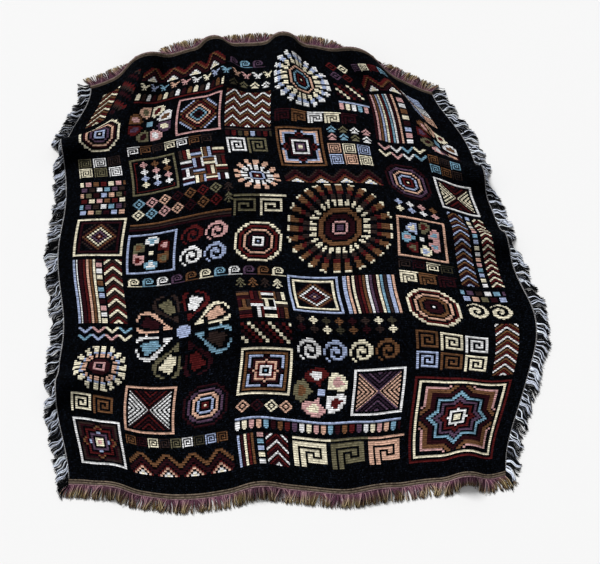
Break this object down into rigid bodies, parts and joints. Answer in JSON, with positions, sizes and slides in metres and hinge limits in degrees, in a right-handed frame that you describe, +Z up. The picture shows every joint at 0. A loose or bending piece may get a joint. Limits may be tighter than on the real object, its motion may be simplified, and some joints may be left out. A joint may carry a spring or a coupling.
{
  "type": "tapestry throw blanket",
  "caption": "Woven tapestry throw laid out flat with soft folds running in from its edges and a cut yarn fringe along every side.",
  "frame": {"origin": "on the surface the throw lies on, under the middle of its overall box", "axes": "+Z up from the surface, +Y along the throw toward its far end, +X to the right seen from the near end"},
  "size_m": [1.3612, 1.4802, 0.0601],
  "materials": {
    "tapestry_weave": "matte ribbed cotton weave, black ground with many-coloured motifs",
    "side_fringe_yarn": "matte cut cotton yarn, black and white mixed",
    "end_fringe_yarn": "matte cut cotton yarn, mauve at the root and brown and cream at the tip"
  },
  "bodies": {
    "root": {"cloth": "tapestry_weave", "fringe_left": "side_fringe_yarn", "fringe_right": "side_fringe_yarn", "fringe_near": "end_fringe_yarn", "fringe_far": "end_fringe_yarn"}
  },
  "joints": []
}
